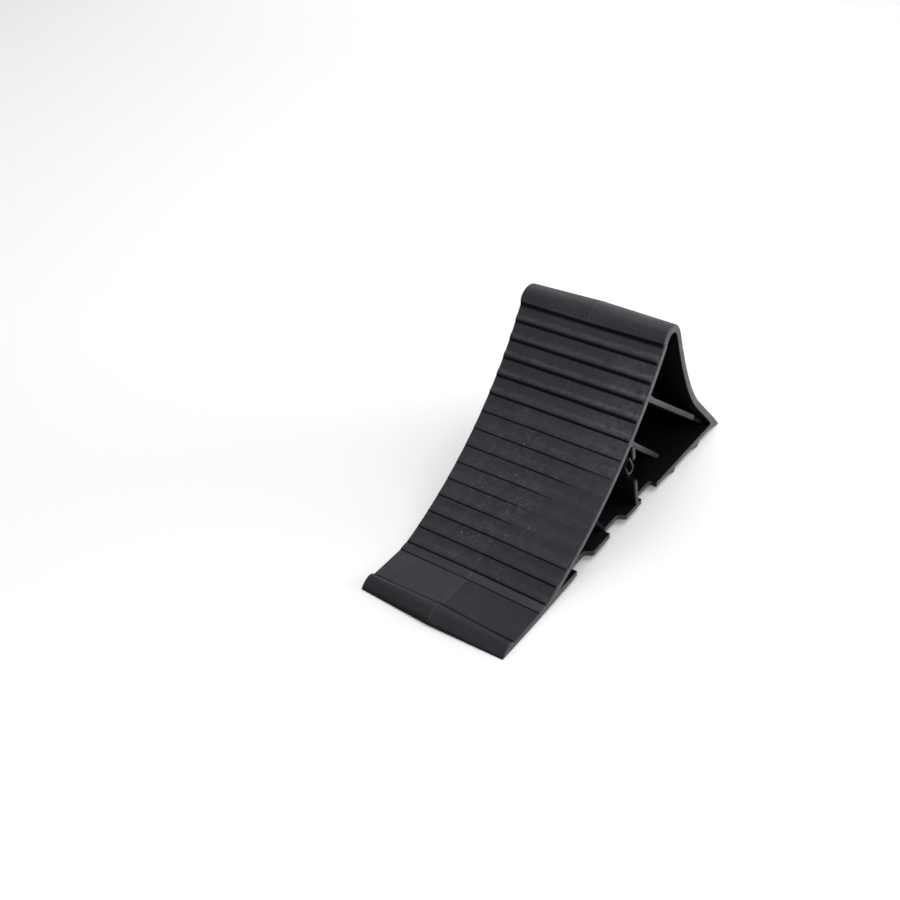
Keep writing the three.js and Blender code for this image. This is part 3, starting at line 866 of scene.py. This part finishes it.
# --- floor, light and camera ----------------------------------------------------------------------


FLOOR_REACH = 6.0  # metres each way
FLOOR_DROP = 0.0002  # keeps the floor off the underside
FLOOR_COLOUR = (0.93, 0.93, 0.93, 1)
WORLD_STRENGTH = 0.62
LIGHT_TARGET = (0, 0, 0.06)
LIGHTS = (  # name, place and size in metres, and power in watts
    ("top_softbox", (0.3, 0.7, 1.9), (1.8, 1.4), 20),
    ("front_softbox", (0.25, -1.3, 1.5), (0.7, 0.5), 3.5),
    ("back_left_softbox", (-1.4, 1.9, 0.8), (1.2, 0.7), 5),
    ("right_softbox", (1.35, 0.9, 0.4), (1.0, 0.6), 16),
)


def make_floor():
    mesh = bpy.data.meshes.new("floor")
    corners = [(x * FLOOR_REACH, y * FLOOR_REACH, 0) for x, y in ((-1, -1), (1, -1), (1, 1), (-1, 1))]
    mesh.from_pydata(corners, [], [(0, 1, 2, 3)])
    floor = bpy.data.objects.new("floor", mesh)
    bpy.context.scene.collection.objects.link(floor)
    floor.location.z = -FLOOR_DROP
    material = bpy.data.materials.new("pale_floor")
    material.use_nodes = True
    shader = material.node_tree.nodes["Principled BSDF"]
    shader.inputs["Base Color"].default_value = FLOOR_COLOUR
    shader.inputs["Roughness"].default_value = 0.9
    shader.inputs["Specular IOR Level"].default_value = 0.1
    mesh.materials.append(material)


def area_light(name, place, size, power):
    data = bpy.data.lights.new(name, "AREA")
    data.shape = "RECTANGLE"
    data.size, data.size_y = size
    data.energy = power
    light = bpy.data.objects.new(name, data)
    light.location = place
    towards = Vector(LIGHT_TARGET) - Vector(place)
    light.rotation_euler = towards.to_track_quat("-Z", "Y").to_euler()
    bpy.context.scene.collection.objects.link(light)


def make_light():
    world = bpy.data.worlds.new("studio")
    bpy.context.scene.world = world
    world.use_nodes = True
    background = world.node_tree.nodes["Background"]
    background.inputs["Color"].default_value = (1, 1, 1, 1)
    background.inputs["Strength"].default_value = WORLD_STRENGTH
    for light in LIGHTS:
        area_light(*light)


CAMERA_PLACE = Vector((332.8, -573.6, 517.6)) * MM
CAMERA_TURN = (37.176, 35.392, -2.04)  # azimuth, elevation and roll in degrees
CAMERA_LENS, CAMERA_SENSOR = 42.955, 36


def make_camera():
    data = bpy.data.cameras.new("camera")
    data.lens = CAMERA_LENS
    data.sensor_width = CAMERA_SENSOR
    data.clip_start = 0.01
    camera = bpy.data.objects.new("camera", data)
    bpy.context.scene.collection.objects.link(camera)
    azimuth, elevation, roll = (math.radians(angle) for angle in CAMERA_TURN)
    look = Vector((
        -math.sin(azimuth) * math.cos(elevation),
        math.cos(azimuth) * math.cos(elevation),
        -math.sin(elevation),
    ))
    level = Vector((math.cos(azimuth), math.sin(azimuth), 0))
    lift = level.cross(look)
    right = level * math.cos(roll) + lift * math.sin(roll)
    up = lift * math.cos(roll) - level * math.sin(roll)
    turn = Matrix((right, up, -look)).transposed().to_4x4()
    camera.matrix_world = Matrix.Translation(CAMERA_PLACE) @ turn
    bpy.context.scene.camera = camera


make_camera()
make_light()
make_floor()
plastic = black_plastic()
make_ring(plastic)
make_base(plastic)
make_web(plastic)
make_ribs(plastic)
make_sockets(plastic)
bpy.context.scene.view_settings.view_transform = "Standard"
